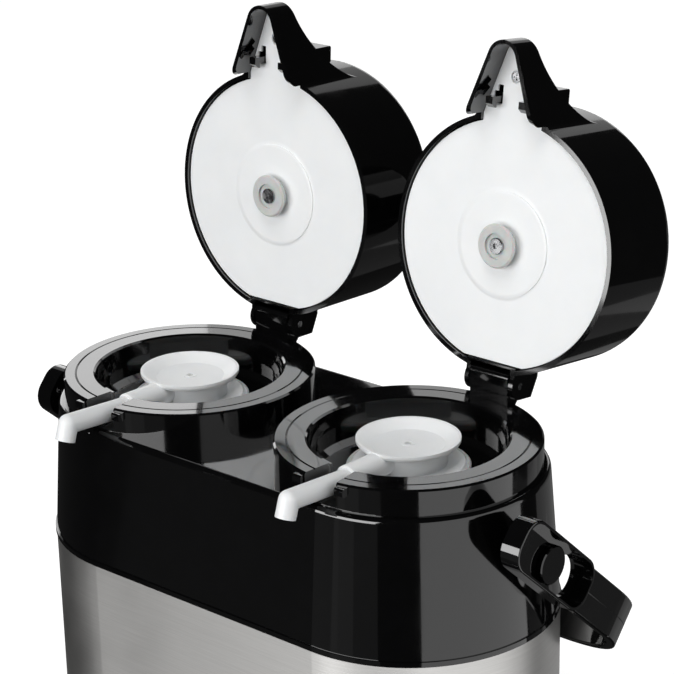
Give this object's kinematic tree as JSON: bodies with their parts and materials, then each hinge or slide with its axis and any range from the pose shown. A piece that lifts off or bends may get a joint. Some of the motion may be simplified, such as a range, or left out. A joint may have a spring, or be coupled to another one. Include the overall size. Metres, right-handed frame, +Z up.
{
  "type": "thermal carafe with flip lids",
  "caption": "Twin vacuum pump pot in one steel-bodied oval case, with flip-up pump lids, beaked spout covers, lift-out pouring spouts and a swinging bail handle.",
  "frame": {"origin": "on the floor, midway between the two flask axes, under the middle foot", "axes": "+Z up, +X along the row of flasks towards the right one, -Y towards the spouts"},
  "size_m": [0.3473, 0.2447, 0.492],
  "materials": {
    "brushed_steel": "brushed stainless steel, fine grain running round the body",
    "black_plastic": "polished black moulded plastic",
    "white_plastic": "cool white, slightly translucent polypropylene",
    "grey_rubber": "soft grey silicone",
    "black_rubber": "matte black rubber",
    "silvered_glass": "silvered double-wall vacuum glass",
    "plain_steel": "plain bright steel"
  },
  "bodies": {
    "body": {"base_cover": "black_plastic", "collar_left": "black_plastic", "collar_right": "black_plastic", "cradle_screw_back_left": "plain_steel", "cradle_screw_back_right": "plain_steel", "cradle_screw_front_left": "plain_steel", "cradle_screw_front_right": "plain_steel", "flask_cradle_left": "white_plastic", "flask_cradle_right": "white_plastic", "flask_cushion_left": "grey_rubber", "flask_cushion_right": "grey_rubber", "flask_liner_left": "silvered_glass", "flask_liner_right": "silvered_glass", "foot_back_left": "black_rubber", "foot_back_right": "black_rubber", "foot_front_left": "black_rubber", "foot_front_right": "black_rubber", "foot_middle": "black_rubber", "glass_flask_left": "silvered_glass", "glass_flask_right": "silvered_glass", "handle_stud_left": "black_plastic", "handle_stud_right": "black_plastic", "hinge_pin_left": "plain_steel", "hinge_pin_right": "plain_steel", "neck_gasket_left": "grey_rubber", "neck_gasket_right": "grey_rubber", "shoulder": "black_plastic", "steel_shell": "brushed_steel"},
    "lid_left": {"lid_shell_left": "black_plastic", "lid_plate_left": "white_plastic", "valve_seat_left": "grey_rubber", "valve_screw_left": "plain_steel", "tongue_screw_left": "plain_steel", "latch_pin_left": "plain_steel", "bellows_left": "black_rubber", "pump_spring_left": "plain_steel"},
    "latch_left": {"latch_left": "black_plastic"},
    "pump_button_left": {"push_button_left": "black_plastic"},
    "siphon_left": {"siphon_spout_left": "white_plastic", "siphon_stopper_left": "white_plastic", "siphon_gasket_left": "grey_rubber", "siphon_tube_left": "white_plastic"},
    "lid_right": {"lid_shell_right": "black_plastic", "lid_plate_right": "white_plastic", "valve_seat_right": "grey_rubber", "valve_screw_right": "plain_steel", "tongue_screw_right": "plain_steel", "latch_pin_right": "plain_steel", "bellows_right": "black_rubber", "pump_spring_right": "plain_steel"},
    "latch_right": {"latch_right": "black_plastic"},
    "pump_button_right": {"push_button_right": "black_plastic"},
    "siphon_right": {"siphon_spout_right": "white_plastic", "siphon_stopper_right": "white_plastic", "siphon_gasket_right": "grey_rubber", "siphon_tube_right": "white_plastic"},
    "bail": {"handle": "black_plastic"}
  },
  "joints": [
    {"name": "lid_left_hinge", "type": "hinge", "parent": "body", "child": "lid_left", "pos_m": [-0.0785, 0.075, 0.3069], "axis": [1, 0, 0], "range_deg": [0, 93.3]},
    {"name": "latch_left_pivot", "type": "hinge", "parent": "lid_left", "child": "latch_left", "pos_m": [-0.0785, 0.09175, 0.45668], "axis": [-1, 0, 0], "range_deg": [0, 5], "stiffness_Nm_per_rad": 0.25},
    {"name": "pump_button_left_slide", "type": "slide", "parent": "lid_left", "child": "pump_button_left", "axis": [0, -0.9983, 0.0576], "range_m": [0, 0.022], "stiffness_N_per_m": 350, "deforming": ["bellows_left", "pump_spring_left"]},
    {"name": "siphon_left_lift", "type": "slide", "parent": "body", "child": "siphon_left", "axis": [0, 0, -1], "range_m": [-0.2, 0]},
    {"name": "lid_right_hinge", "type": "hinge", "parent": "body", "child": "lid_right", "pos_m": [0.0785, 0.075, 0.3069], "axis": [1, 0, 0], "range_deg": [0, 97.5]},
    {"name": "latch_right_pivot", "type": "hinge", "parent": "lid_right", "child": "latch_right", "pos_m": [0.0785, 0.10268, 0.45505], "axis": [-1, 0, 0], "range_deg": [0, 5], "stiffness_Nm_per_rad": 0.25},
    {"name": "pump_button_right_slide", "type": "slide", "parent": "lid_right", "child": "pump_button_right", "axis": [0, -0.9914, 0.1305], "range_m": [0, 0.022], "stiffness_N_per_m": 350, "deforming": ["bellows_right", "pump_spring_right"]},
    {"name": "siphon_right_lift", "type": "slide", "parent": "body", "child": "siphon_right", "axis": [0, 0, -1], "range_m": [-0.2, 0]},
    {"name": "bail_hinge", "type": "hinge", "parent": "body", "child": "bail", "pos_m": [0, 0, 0.2526], "axis": [1, 0, 0], "range_deg": [0, 55]}
  ]
}
